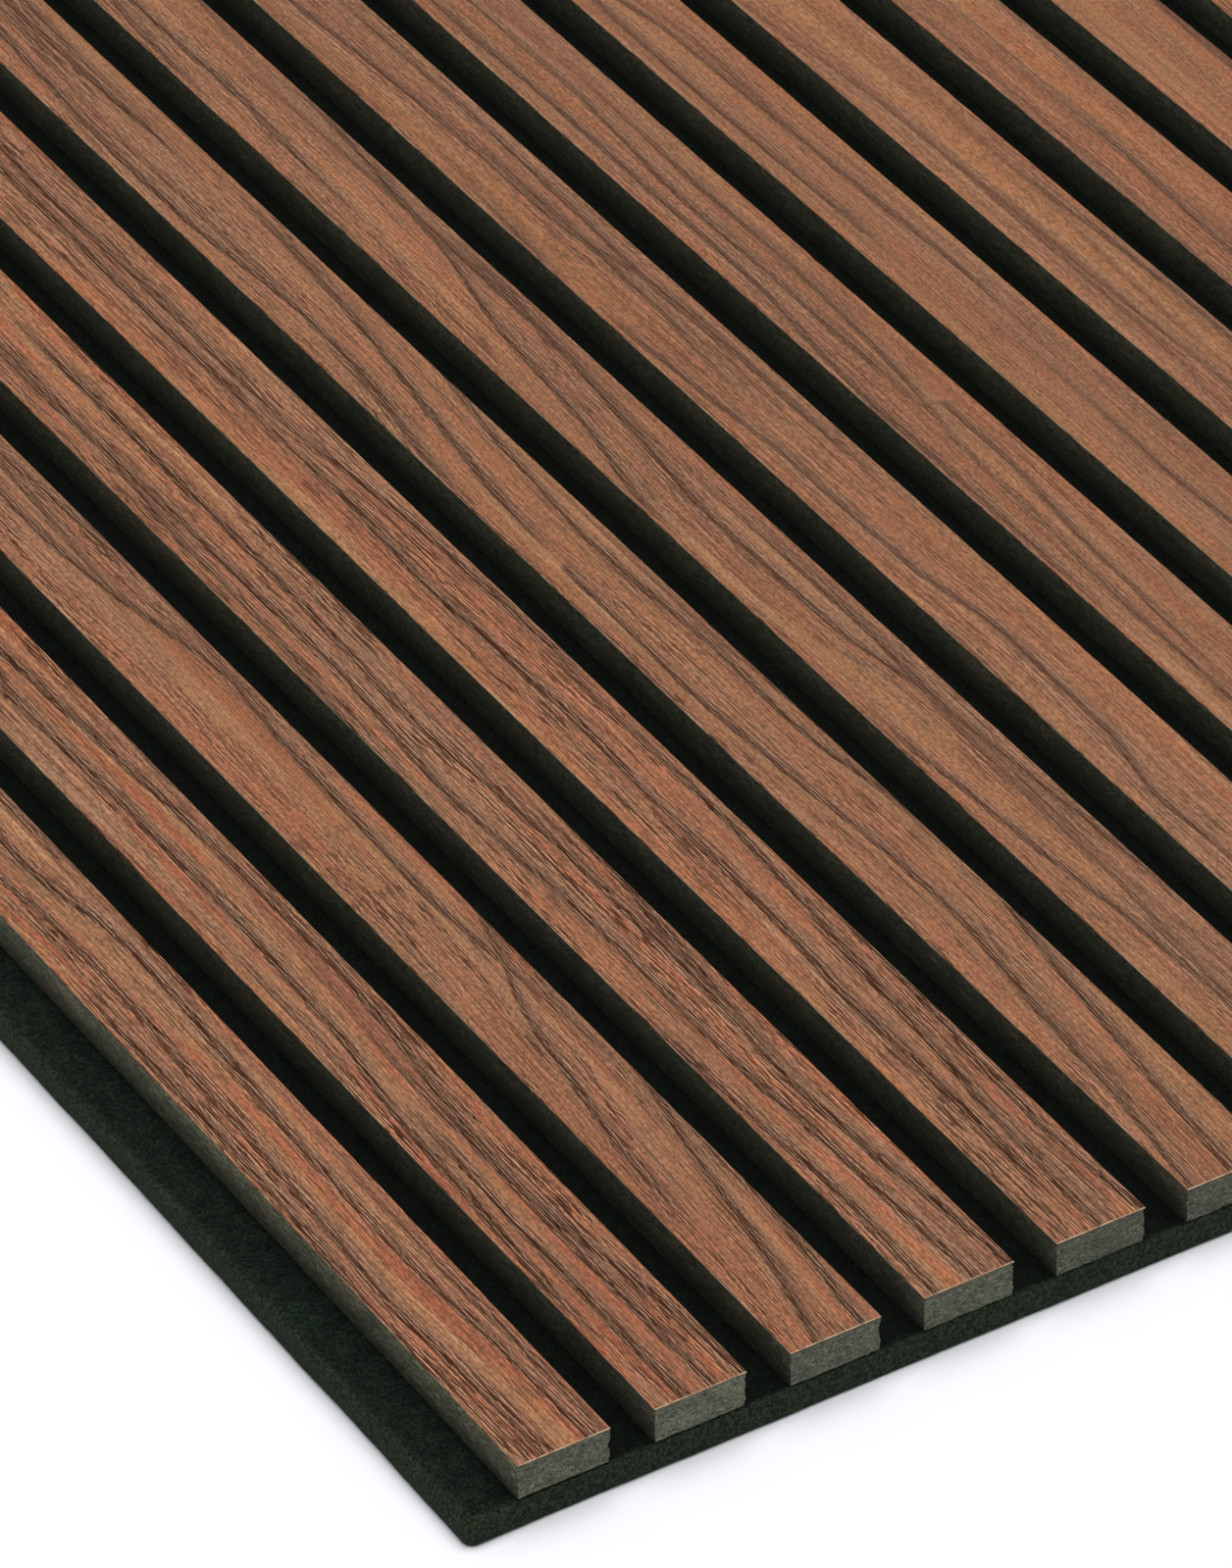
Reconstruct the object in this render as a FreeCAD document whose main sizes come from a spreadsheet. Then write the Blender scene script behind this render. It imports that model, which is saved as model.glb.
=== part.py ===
import FreeCAD, Part
import os
import Sketcher

# An acoustic slat wall panel: veneered fibreboard slats, side by side, on a sheet of pressed
# polyester felt. Glue and wire staples hold each slat. The staples are shot from the back,
# through the felt and into the slat.
#
# The panel lies on its back. X runs across the slats, Y along them, and Z from the wall to the
# room. The origin is the middle of the back face.

# Driving sizes in millimetres, and counts
sizes = {
    "slat_count": 15,
    "slat_width": 27.0,
    "slat_gap": 13.0,
    # Length of the felt, and how far the slats' sawn ends lie behind the felt's ends
    "panel_length": 2400.0,
    "slat_inset": 1.0,
    "core_thickness": 10.6,
    "veneer_thickness": 0.6,
    # Sanded edge of the veneer, measured along each face
    "veneer_arris": 0.2,
    "felt_thickness": 9.0,
    # Felt that shows beside the first slat, where the next panel's felt meets it, and beside
    # the last slat
    "felt_margin_left": 15.5,
    "felt_margin_right": 2.5,
    # The felt is knife cut: its edges are soft, and its corners are rounded in plan
    "felt_edge_radius": 1.5,
    "felt_corner_radius": 6.0,
    # Staple of flat wire: the crown's outside length, along the slat, and its bevelled bends
    "staple_crown": 12.8,
    "staple_bend": 0.35,
    "wire_width": 1.2,
    "wire_thickness": 0.65,
    # How far the crown is driven below the back face, and the core left over the legs' points
    "staple_sink": 0.5,
    "staple_cover": 5.1,
    "staple_rows": 6,
    # From the felt's end to the middle of the first staple
    "staple_end_distance": 200.0,
}

# Expressions that several features share
slat_pitch = "(Sizes.slat_width + Sizes.slat_gap)"
slat_field = f"(Sizes.slat_count * {slat_pitch} - Sizes.slat_gap)"
felt_width = f"(Sizes.felt_margin_left + {slat_field} + Sizes.felt_margin_right)"
first_slat_x = f"(-{felt_width} / 2 + Sizes.felt_margin_left)"
first_staple_x = f"({first_slat_x} + Sizes.slat_width / 2)"
slat_length = "(Sizes.panel_length - 2 * Sizes.slat_inset)"
staple_run = "(Sizes.panel_length - 2 * Sizes.staple_end_distance)"
crown_depth = "(Sizes.staple_sink + Sizes.wire_thickness)"
core_top_z = "(Sizes.felt_thickness + Sizes.core_thickness)"
leg_length = f"({core_top_z} - Sizes.staple_cover - Sizes.staple_sink)"
leg_hole_depth = "(Sizes.core_thickness - Sizes.staple_cover)"

doc = FreeCAD.newDocument("AcousticSlatPanel")


def make_sheet():
    sheet = doc.addObject("Spreadsheet::Sheet", "Sizes")
    for row, (name, value) in enumerate(sizes.items(), start=1):
        sheet.set(f"A{row}", name)
        sheet.set(f"B{row}", str(value))
        sheet.setAlias(f"B{row}", name)
    doc.recompute()
    return sheet


def value_of(expression):
    return float(sheet.evalExpression(expression))


def make_body(label):
    body = doc.addObject("PartDesign::Body", label)
    body.Label = label
    return body


def origin_feature(body, role):
    return next(o for o in body.Origin.OriginFeatures if o.Role == role)


def place(body, **expressions):
    for axis, expression in expressions.items():
        body.setExpression(f"Placement.Base.{axis}", expression)


def new_sketch(body, name, role="XY_Plane"):
    sketch = body.newObject("Sketcher::SketchObject", name)
    sketch.AttachmentSupport = [(origin_feature(body, role), "")]
    sketch.MapMode = "FlatFace"
    return sketch


def bind(sketch, constraint, name, expression):
    index = sketch.addConstraint(constraint)
    sketch.renameConstraint(index, name)
    sketch.setExpression(f"Constraints.{name}", expression)


def draw_outline(sketch, name, corners):
    """A closed outline of straight sides. Each corner is a pair of expressions."""
    points = [FreeCAD.Vector(value_of(x), value_of(y), 0) for x, y in corners]
    ends = zip(points, points[1:] + points[:1])
    sides = [sketch.addGeometry(Part.LineSegment(start, end)) for start, end in ends]
    for side, following in zip(sides, sides[1:] + sides[:1]):
        sketch.addConstraint(Sketcher.Constraint("Coincident", side, 2, following, 1))
    for number, (side, point, (x, y)) in enumerate(zip(sides, points, corners), start=1):
        bind(sketch, Sketcher.Constraint("DistanceX", side, 1, point.x), f"{name}_x{number}", x)
        bind(sketch, Sketcher.Constraint("DistanceY", side, 1, point.y), f"{name}_y{number}", y)


def draw_rectangle(sketch, name, left, right, low, high):
    draw_outline(sketch, name, [(left, low), (right, low), (right, high), (left, high)])


def add_pad(body, sketch, name, length, midplane=False):
    pad = body.newObject("PartDesign::Pad", name)
    pad.Profile = sketch
    pad.Midplane = midplane
    pad.setExpression("Length", length)
    sketch.Visibility = False
    doc.recompute()
    return pad


def add_pocket(body, sketch, name, depth):
    """Cuts from the sketch upwards, the way that the staples are driven."""
    before = body.Shape.Volume
    pocket = body.newObject("PartDesign::Pocket", name)
    pocket.Profile = sketch
    pocket.Reversed = True
    pocket.setExpression("Length", depth)
    sketch.Visibility = False
    doc.recompute()
    if body.Shape.Volume >= before:
        raise RuntimeError(f"{body.Label}: {name} cuts nothing")
    return pocket


def add_pattern(body, originals, name, along_slats, across_slats=False):
    """Repeats features down the rows of staples, and where asked over all the slats."""
    pattern = body.newObject("PartDesign::LinearPattern", name)
    pattern.Originals = originals
    pattern.Direction = (origin_feature(body, "Y_Axis"), [""])
    pattern.setExpression("Length", along_slats)
    pattern.setExpression("Occurrences", "Sizes.staple_rows")
    if across_slats:
        pattern.Direction2 = (origin_feature(body, "X_Axis"), [""])
        pattern.setExpression("Length2", f"(Sizes.slat_count - 1) * {slat_pitch}")
        pattern.setExpression("Occurrences2", "Sizes.slat_count")
    body.Tip = pattern
    doc.recompute()
    return pattern


def edge_names(shape, wanted):
    return [f"Edge{n}" for n, edge in enumerate(shape.Edges, start=1) if wanted(edge)]


def add_fillet(body, base, name, edges, radius):
    fillet = body.newObject("PartDesign::Fillet", name)
    fillet.Base = (base, edges)
    fillet.setExpression("Radius", radius)
    doc.recompute()
    return fillet


def is_upright(edge):
    return edge.BoundBox.ZLength > edge.BoundBox.XLength + edge.BoundBox.YLength


def is_level(edge):
    return edge.BoundBox.ZLength < 1e-6


# Felt backing


def make_felt():
    """One sheet of pressed felt, soft along its cut edges, with the slots of the staples."""
    felt = make_body("felt_backing")
    outline = new_sketch(felt, "FeltOutline")
    draw_rectangle(
        outline,
        "felt",
        f"-{felt_width} / 2",
        f"{felt_width} / 2",
        "-Sizes.panel_length / 2",
        "Sizes.panel_length / 2",
    )
    board = add_pad(felt, outline, "FeltBoard", "Sizes.felt_thickness")
    corners = add_fillet(
        felt,
        board,
        "FeltCorners",
        edge_names(board.Shape, is_upright),
        "Sizes.felt_corner_radius",
    )
    add_fillet(
        felt,
        corners,
        "FeltSoftEdges",
        edge_names(corners.Shape, is_level),
        "Sizes.felt_edge_radius",
    )
    cut_staple_slots(felt)
    return felt


def cut_staple_slots(felt):
    """A slot for each crown in the back face, and a way through the felt for each leg."""
    left = f"{first_staple_x} - Sizes.wire_width / 2"
    right = f"{first_staple_x} + Sizes.wire_width / 2"
    low = f"-{staple_run} / 2 - Sizes.staple_crown / 2"
    high = f"-{staple_run} / 2 + Sizes.staple_crown / 2"

    crown = new_sketch(felt, "CrownSlot")
    draw_rectangle(crown, "crown", left, right, low, high)
    crown_pocket = add_pocket(felt, crown, "CrownPocket", crown_depth)

    legs = new_sketch(felt, "LegSlots")
    draw_rectangle(legs, "near", left, right, low, f"{low} + Sizes.wire_thickness")
    draw_rectangle(legs, "far", left, right, f"{high} - Sizes.wire_thickness", high)
    leg_pocket = add_pocket(felt, legs, "LegPocket", "Sizes.felt_thickness")

    add_pattern(felt, [crown_pocket, leg_pocket], "StapleSlots", staple_run, True)


# Slats: a fibreboard core and a veneer face


def draw_slat_plan(sketch, name):
    draw_rectangle(
        sketch, name, "0", "Sizes.slat_width", f"-{slat_length} / 2", f"{slat_length} / 2"
    )


def make_core(number, slat_x):
    """The core lies on the felt, and its staples' legs end inside it."""
    core = make_body(f"slat_core_{number:02d}")
    plan = new_sketch(core, f"CorePlan{number}")
    draw_slat_plan(plan, "core")
    add_pad(core, plan, f"CoreBoard{number}", "Sizes.core_thickness")

    left = "(Sizes.slat_width - Sizes.wire_width) / 2"
    right = "(Sizes.slat_width + Sizes.wire_width) / 2"
    low = f"-{staple_run} / 2 - Sizes.staple_crown / 2"
    high = f"-{staple_run} / 2 + Sizes.staple_crown / 2"
    legs = new_sketch(core, f"LegHoles{number}")
    draw_rectangle(legs, "near", left, right, low, f"{low} + Sizes.wire_thickness")
    draw_rectangle(legs, "far", left, right, f"{high} - Sizes.wire_thickness", high)
    pocket = add_pocket(core, legs, f"LegHolePocket{number}", leg_hole_depth)
    add_pattern(core, [pocket], f"LegHoleRows{number}", staple_run)

    place(core, x=slat_x, z="Sizes.felt_thickness")
    return core


def make_veneer(number, slat_x):
    """The veneer covers the core's whole face, with its upper edges sanded off."""
    veneer = make_body(f"slat_veneer_{number:02d}")
    plan = new_sketch(veneer, f"VeneerPlan{number}")
    draw_slat_plan(plan, "veneer")
    leaf = add_pad(veneer, plan, f"VeneerLeaf{number}", "Sizes.veneer_thickness")

    top = leaf.Shape.BoundBox.ZMax
    arris = veneer.newObject("PartDesign::Chamfer", f"VeneerArris{number}")
    arris.Base = (leaf, edge_names(leaf.Shape, lambda edge: edge.BoundBox.ZMin > top - 1e-6))
    arris.setExpression("Size", "Sizes.veneer_arris")

    place(veneer, x=slat_x, z=core_top_z)
    doc.recompute()
    return veneer


# Staples


def draw_staple(sketch):
    """Side view, crown down: bevelled bends outside, sharp inside, and chisel points."""
    outside = "Sizes.staple_crown / 2"
    inside = "(Sizes.staple_crown / 2 - Sizes.wire_thickness)"
    right_side = [
        ("(Sizes.staple_crown / 2 - Sizes.staple_bend)", "0"),
        (outside, "Sizes.staple_bend"),
        (outside, leg_length),
        (inside, f"{leg_length} - Sizes.wire_thickness"),
        (inside, "Sizes.wire_thickness"),
    ]
    left_side = [(f"-{y}", z) for y, z in reversed(right_side)]
    draw_outline(sketch, "staple", right_side + left_side)


def make_staples():
    """All the staples, as separate solids: one row down the middle of each slat."""
    staples = make_body("staples")
    staples.AllowCompound = True
    profile = new_sketch(staples, "StapleProfile", "YZ_Plane")
    draw_staple(profile)
    wire = add_pad(staples, profile, "StapleWire", "Sizes.wire_width", midplane=True)
    add_pattern(staples, [wire], "StapleGrid", staple_run, True)
    place(staples, x=first_staple_x, y=f"-{staple_run} / 2", z="Sizes.staple_sink")
    return staples


# Assembly, checks and files


def make_panel():
    parts = [make_felt()]
    for number in range(1, sizes["slat_count"] + 1):
        slat_x = f"{first_slat_x} + {number - 1} * {slat_pitch}"
        parts.append(make_core(number, slat_x))
        parts.append(make_veneer(number, slat_x))
    parts.append(make_staples())
    return parts


def check(parts):
    for item in doc.Objects:
        if {"Invalid", "Error"} & set(item.State):
            raise RuntimeError(f"{item.Label} failed: {item.State}")
        if item.isDerivedFrom("Sketcher::SketchObject") and not item.FullyConstrained:
            raise RuntimeError(f"{item.Label} isn't fully constrained")
    for part in parts:
        if part.Shape.isNull() or not part.Shape.isValid() or not part.Shape.Solids:
            raise RuntimeError(f"{part.Label} has no valid shape")
    staples = parts[-1]
    if len(staples.Shape.Solids) != sizes["slat_count"] * sizes["staple_rows"]:
        raise RuntimeError("some staples are missing")


def write_files(parts):
    os.makedirs("parts", exist_ok=True)
    for part in parts:
        part.Shape.exportStep(f"parts/{part.Label}.step")
        print(part.Label, len(part.Shape.Solids), round(part.Shape.Volume, 1))


sheet = make_sheet()
panel = make_panel()
doc.recompute()
check(panel)
write_files(panel)
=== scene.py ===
import math

import bpy
import numpy as np
from mathutils import Matrix, Vector, geometry, noise


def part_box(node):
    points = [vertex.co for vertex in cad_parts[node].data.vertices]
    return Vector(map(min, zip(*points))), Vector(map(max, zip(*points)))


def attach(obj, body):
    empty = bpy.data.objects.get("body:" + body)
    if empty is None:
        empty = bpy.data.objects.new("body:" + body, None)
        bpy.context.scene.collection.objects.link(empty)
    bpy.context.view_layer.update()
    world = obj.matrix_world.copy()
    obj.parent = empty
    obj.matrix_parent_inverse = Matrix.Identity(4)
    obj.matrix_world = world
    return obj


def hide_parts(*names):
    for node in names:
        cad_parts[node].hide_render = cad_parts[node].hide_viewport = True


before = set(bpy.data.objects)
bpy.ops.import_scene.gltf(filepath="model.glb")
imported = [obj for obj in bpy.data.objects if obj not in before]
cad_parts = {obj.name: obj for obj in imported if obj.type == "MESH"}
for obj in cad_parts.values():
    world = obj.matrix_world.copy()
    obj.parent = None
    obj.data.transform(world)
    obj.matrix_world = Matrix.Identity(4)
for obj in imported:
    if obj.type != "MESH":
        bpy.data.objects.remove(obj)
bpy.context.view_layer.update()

# Acoustic slat wall panel, lying on its back.
# X runs across the slats, Y along them and Z up from the wall side. Lengths in the script are
# metres, and mm turns the millimetres of its dictionaries into them.
mm = 0.001

slatCount = sum(name.startswith("slat_core_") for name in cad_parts)
feltLow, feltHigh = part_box("felt_backing")
coreLow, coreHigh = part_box("slat_core_01")
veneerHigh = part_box("slat_veneer_01")[1]
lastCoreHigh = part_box(f"slat_core_{slatCount:02d}")[1]
slatWidth = coreHigh.x - coreLow.x
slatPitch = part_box("slat_core_02")[0].x - coreLow.x
print(f"frame: {slatCount} slats, {slatWidth / mm:.1f} mm wide, every {slatPitch / mm:.1f} mm")


# Shader helpers. Sockets are numbered where names repeat: in a Mix node 0 is the share, 2 and 3
# are its numbers, 6 and 7 its colours, and in a VectorMath node 3 is the scale.

smooth = {"interpolation_type": "SMOOTHSTEP"}
times = {"operation": "MULTIPLY"}
ofColours = {"data_type": "RGBA", "output": 2}


def linearColour(code):
    # sRGB hex such as "#8b634c" to the linear values that the shaders take
    channels = [int(code[i:i + 2], 16) / 255 for i in (1, 3, 5)]
    linear = [c / 12.92 if c <= 0.04045 else ((c + 0.055) / 1.055) ** 2.4 for c in channels]
    return (*linear, 1.0)


def addNode(tree, kind, inputs=(), output=0, **settings):
    # One node: its inputs in order or by name, from values or sockets, and its settings by name
    node = tree.nodes.new("ShaderNode" + kind)
    for name, value in settings.items():
        setattr(node, name, value)
    for key, value in inputs.items() if isinstance(inputs, dict) else enumerate(inputs):
        if isinstance(value, bpy.types.NodeSocket):
            tree.links.new(value, node.inputs[key])
        else:
            node.inputs[key].default_value = value
    return node.outputs[output] if len(node.outputs) else node


def newMaterial(name):
    material = bpy.data.materials.new(name)
    material.use_nodes = True
    material.node_tree.nodes.clear()
    return material, material.node_tree


def placeInMm(tree):
    # Where a point lies, in mm, so that each pattern is set in its real size
    place = addNode(tree, "TexCoord", output="Object")
    return addNode(tree, "VectorMath", [place, (1 / mm, 1 / mm, 1 / mm)], **times)


def layTones(tree, colour, tones, layers):
    # Lays each named tone over the colour, as far as its share says
    for share, tone in layers:
        colour = addNode(
            tree, "Mix", {0: share, 6: colour, 7: linearColour(tones[tone])}, **ofColours,
        )
    return colour


# Mesh helpers

def wobble(x, y, z, seed=0.0):
    # Smooth noise from -1 to 1, the same on every run
    return noise.noise(Vector((x + seed * 17.3, y - seed * 5.1, z + seed * 31.7)))


def addPiece(name, points, faces, material, replaced, attributes):
    mesh = bpy.data.meshes.new(name)
    mesh.from_pydata(points, [], faces)
    mesh.validate()
    for key, values in attributes.items():
        layer = mesh.attributes.new(key, "FLOAT", "POINT")
        layer.data.foreach_set("value", np.asarray(values, np.float32))
    mesh.materials.append(material)
    piece = bpy.data.objects.new(name, mesh)
    bpy.context.scene.collection.objects.link(piece)
    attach(piece, "root")
    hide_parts(replaced)


# Camera, at the photo's angle

cameraSetup = {
    # Where it looks, how far it stands off, and how near and far it sees, in metres
    "aim": (-0.1198, -0.9734, 0.0202),
    "distance": 2.7905,
    "nearest": 0.05,
    "farthest": 100,
    # Degrees: round the panel, above it, and how far the camera leans
    "azimuth": -30.862,
    "elevation": 37.03,
    "roll": -1.158,
    # In mm
    "lens": 238.09,
    "sensorWidth": 36,
}


def addCamera():
    azimuth = math.radians(cameraSetup["azimuth"])
    elevation = math.radians(cameraSetup["elevation"])
    back = Vector((
        math.sin(azimuth) * math.cos(elevation),
        -math.cos(azimuth) * math.cos(elevation),
        math.sin(elevation),
    ))
    camera = bpy.data.objects.new("camera", bpy.data.cameras.new("camera"))
    camera.data.sensor_width = cameraSetup["sensorWidth"]
    camera.data.sensor_fit = "AUTO"
    camera.data.lens = cameraSetup["lens"]
    camera.data.clip_start = cameraSetup["nearest"]
    camera.data.clip_end = cameraSetup["farthest"]
    level = (-back).to_track_quat("-Z", "Y").to_matrix()
    roll = Matrix.Rotation(math.radians(cameraSetup["roll"]), 3, "Z")
    turned = (level @ roll).to_4x4()
    turned.translation = Vector(cameraSetup["aim"]) + back * cameraSetup["distance"]
    camera.matrix_world = turned
    bpy.context.scene.collection.objects.link(camera)
    bpy.context.scene.camera = camera


addCamera()
print("camera placed")


# Studio: a floor painted matt white, a soft lamp above and a pale room all round. The eye gets
# an even white, with the panel's own soft shadow on it.

studio = {
    # Places and sizes are in metres here
    "roomColour": (1, 1, 1, 1),
    "roomStrength": 0.43,
    "seenStrength": 1.0,
    "lampPlace": (0.3, -1.05, 4.4),
    "lampAim": (0.0, -0.4, 0.0),
    "lampSize": 4.4,
    "lampWatts": 195,
    "floorSize": 80,
    "floorPaint": "#eff0f3",
    "floorCloud": "#eff0f4",
    "floorCloudScale": 3.0,
    "floorGlow": 0.01,
}


def addFloor():
    material, tree = newMaterial("matt white studio floor")
    position = addNode(tree, "TexCoord", output="Object")
    clouds = addNode(tree, "TexNoise", {"Vector": position, "Scale": studio["floorCloudScale"]})
    paint = linearColour(studio["floorPaint"])
    paint = layTones(tree, paint, studio, [(clouds, "floorCloud")])
    matt = addNode(tree, "BsdfDiffuse", [paint])
    # A trace of light of its own, for the camera and in reflections, keeps the open floor white
    glow = addNode(tree, "Emission", {"Strength": studio["floorGlow"]})
    both = addNode(tree, "AddShader", [matt, glow])
    path = addNode(tree, "LightPath").node.outputs
    seen = path["Is Camera Ray"]
    for ray in ("Is Glossy Ray", "Is Transmission Ray"):
        seen = addNode(tree, "Math", [seen, path[ray]], operation="MAXIMUM")
    addNode(tree, "OutputMaterial", [addNode(tree, "MixShader", [seen, matt, both])])

    half = studio["floorSize"] / 2
    mesh = bpy.data.meshes.new("floor")
    corners = [(-half, -half, 0), (half, -half, 0), (half, half, 0), (-half, half, 0)]
    mesh.from_pydata(corners, [], [(0, 1, 2, 3)])
    mesh.materials.append(material)
    floor = bpy.data.objects.new("floor", mesh)
    bpy.context.scene.collection.objects.link(floor)


def addLights():
    lamp = bpy.data.objects.new("soft lamp", bpy.data.lights.new("soft lamp", "AREA"))
    lamp.data.size = studio["lampSize"]
    lamp.data.energy = studio["lampWatts"]
    lamp.location = studio["lampPlace"]
    towards = Vector(studio["lampAim"]) - lamp.location
    lamp.rotation_euler = towards.to_track_quat("-Z", "Y").to_euler()
    bpy.context.scene.collection.objects.link(lamp)

    world = bpy.data.worlds.new("pale room")
    world.use_nodes = True
    tree = world.node_tree
    tree.nodes.clear()
    # What lights the panel, and what the camera sees past the floor
    room, white = (
        addNode(tree, "Background", {"Color": studio["roomColour"], "Strength": studio[strength]})
        for strength in ("roomStrength", "seenStrength")
    )
    seen = addNode(tree, "LightPath", output="Is Camera Ray")
    addNode(tree, "OutputWorld", [addNode(tree, "MixShader", [seen, room, white])])
    bpy.context.scene.world = world
    bpy.context.scene.view_settings.view_transform = "Standard"


addFloor()
addLights()
print("floor and lights placed")


# Slat faces: walnut veneer, sliced 0.6 mm thin, sanded and finished with dead matt lacquer.
# The eye gets bands of honey, orange and grey brown, dark growth lines that wander along the
# slat, short open pores, and the pale cut edge of the leaf.

walnut = {
    "tan": "#9d6d50",
    "honey": "#ae7b51",
    "orangeBrown": "#a45f41",
    "greyBrown": "#785f50",
    "growthLine": "#4e2b19",
    "poreShadow": "#43200c",
    # Pale fibres; the same tone paints the highlights beside dark marks and the sheen on streaks
    "paleFibre": "#cba787",
    # The pale cut edge of the leaf, partly a painted highlight on the arris
    "cutEdge": "#c6ad90",
    "glueLine": "#4a4030",
    "roughness": 0.55,
    "specular": 0.08,
    # Growth lines, in mm: how far each side fades out, how far the wood's swelling and single
    # fibres shift a line, how far one wanders and wavers by itself, and how it starts and stops
    "lineSharpSide": 0.6,
    "lineSoftSide": 2.3,
    "swell": 1.6,
    "linePull": 0.6,
    "lineWander": 14,
    "lineWaver": 2.5,
    "lineFade": 30.0,
    # How many times as far as a line the greyer wood about it reaches
    "haloReach": 2.2,
    # How far the fibres lean with the growth lines, as a share
    "fibreFollow": 0.5,
    # Dark marks, in mm
    "poreWidth": 0.4,
    "poreLength": 11.0,
    "hairlineWidth": 0.62,
    "hairlineLength": 70.0,
    "glintShift": 0.45,
    "poreDepth": 0.08,
    # Other patterns: width and length in mm, a seed and, where it isn't 1, the noise's detail
    "swells": (7, 50),
    "pull": (1.2, 60, 2, 2.0),
    "bands": (5.5, 240, 8, 2.0),
    "glow": (4.2, 150, 9, 2.0),
    "clear": (8.0, 320, 17),
    "faintLines": (1.6, 300, 5),
    "faintAreas": (14, 160, 6),
    "gather": (4.5, 60, 11),
    "shortFibre": (0.55, 1.8, 10, 2.0),
    "longFibre": (1.0, 130, 15, 2.0),
    "mottle": (2.4, 14, 18, 2.0),
    "ragged": (3.0, 9.0, 16, 2.0),
    # The leaf's edges, in mm: its sanded arris, the nicks in it, how far in from the sides and
    # the ends the pale cut starts and is full, partly a painted highlight along the sides, and how
    # far down the glue does
    "arris": 0.2,
    "nickDepth": 0.22,
    "nickLengths": (9, 3.4),
    "paleSides": (0.6, 0.48),
    "paleEnds": (0.22, 0.1),
    "glue": (0.28, 0.4),
    # The mesh: how many places along the slat and across it, how far in they start, and the
    # extra ones by each end, in mm
    "stations": 680,
    "columns": 9,
    "stationsFrom": 4,
    "columnsFrom": 0.9,
    "endStations": (0.6, 1.2, 2.2),
}

# The main growth lines of each slat: distance from the near end and place across, in mm.
# Slats are counted from the wide felt margin on. Past these the lines wander by themselves.
growthLines = {
    1: [
        [(0, 7.2), (45, 5.7), (76, 3.7), (100, 6.2), (147, 7.9), (208, 9.6), (255, 9.2),
         (290, 5.7)],
        [(0, 20.2), (50, 18.7), (85, 16.7), (140, 17.2), (200, 20.2), (240, 21.2), (280, 14.2),
         (310, 17.2)],
        [(90, 0.7), (130, 1.4), (165, 2), (200, 1.2)],
    ],
    2: [
        [(55, 1.2), (104, 3.5), (140, 4.6), (165, 8.2), (217, 10.6), (290, 10.8), (350, 8.2),
         (380, 9.2)],
        [(0, 8.2), (35, 7.6), (80, 7.4), (115, 8.7)],
        [(0, 16.2), (60, 15.4), (104, 15.8), (135, 17.9), (166, 21.2), (200, 23.2), (270, 21.2),
         (370, 16.2)],
    ],
    3: [
        [(0, 6.8), (14, 10.6), (40, 15.7), (70, 19.2), (97, 23.6), (125, 29.2)],
        [(0, 21), (20, 22.8), (52, 26.2), (80, 30.2)],
        [(80, 5.2), (104, 7.5), (140, 12.4), (157, 15.2), (180, 22.7), (205, 28.2)],
        [(318, 23.7), (340, 21.2), (370, 16.2), (400, 12.8), (445, 12.4)],
        [(400, 25.2), (435, 22.8), (460, 21.2)],
    ],
    4: [
        [(0, 14.6), (50, 12.6), (100, 9.8), (175, 9.4), (250, 6), (310, 10.2), (350, 8.7),
         (450, 7.2), (500, 7.2)],
        [(0, 25.2), (35, 21.6), (87, 17.2), (147, 19.8), (220, 19.2), (280, 14.7), (360, 17.2),
         (480, 17.2)],
        [(0, 2.5), (50, 4.2), (80, 1.6), (115, 0.7)],
    ],
    5: [
        [(0, 12.8), (46, 13.6), (80, 16.2), (125, 18.2)],
        [(35, 8.8), (86, 9.2), (112, 8.2), (150, 11.2), (210, 11.4), (260, 12.7), (330, 10.2),
         (380, 12.2)],
        [(0, 25.2), (40, 21.6), (86, 24.2), (130, 26.2)],
        [(290, 24.7), (360, 22.2), (420, 16.2), (500, 17.2), (570, 16.2), (600, 18.2)],
        [(480, 11.2), (540, 11.7), (620, 10.2)],
    ],
    6: [
        [(0, 0.6), (40, 5.4), (84, 8), (124, 12.6), (160, 11.8), (200, 8.4), (250, 5.6),
         (330, 6.8)],
        [(0, 13.2), (56, 18), (104, 23.4), (140, 28.2)],
        [(180, 26.2), (220, 21), (260, 21.8), (330, 18.8), (394, 23.8), (420, 27.2)],
        [(350, 7.8), (390, 12.2), (450, 19.2), (500, 22.2)],
        [(385, 1.2), (425, 7.2), (470, 8.4), (520, 4.2), (565, 3.6), (640, 6.7)],
        [(570, 18.2), (620, 17.2), (660, 17.2)],
    ],
    7: [
        [(60, 11.8), (96, 10), (140, 6.4), (195, 2.6)],
        [(125, 25.2), (170, 22.2), (216, 19.8), (250, 14.4), (320, 13.2), (374, 18.4), (450, 24.4)],
        [(340, 1.6), (374, 7.6), (430, 11.8), (470, 19), (540, 25.2)],
        [(520, 7.2), (576, 9.2), (650, 8.6)],
    ],
    8: [
        [(120, 7.6), (144, 5.8), (172, 11.2), (230, 12.6), (262, 7.6), (330, 6.6), (400, 1.8)],
        [(335, 21.8), (400, 22.2), (430, 19.8), (462, 14), (540, 12.8), (630, 7.6)],
    ],
    9: [
        [(200, 12.2), (250, 14.6), (286, 17.6), (350, 18.6)],
        [(240, 1.6), (346, 0.8), (410, 5.6), (500, 5.2), (580, 4.2)],
        [(360, 11.6), (460, 10.8), (520, 14.2), (600, 13.2)],
    ],
    10: [
        [(380, 19.2), (470, 16.2), (540, 14.2), (560, 10.5), (600, 9.8)],
        [(420, 6.2), (500, 4.2), (580, 5.2)],
    ],
}

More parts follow.
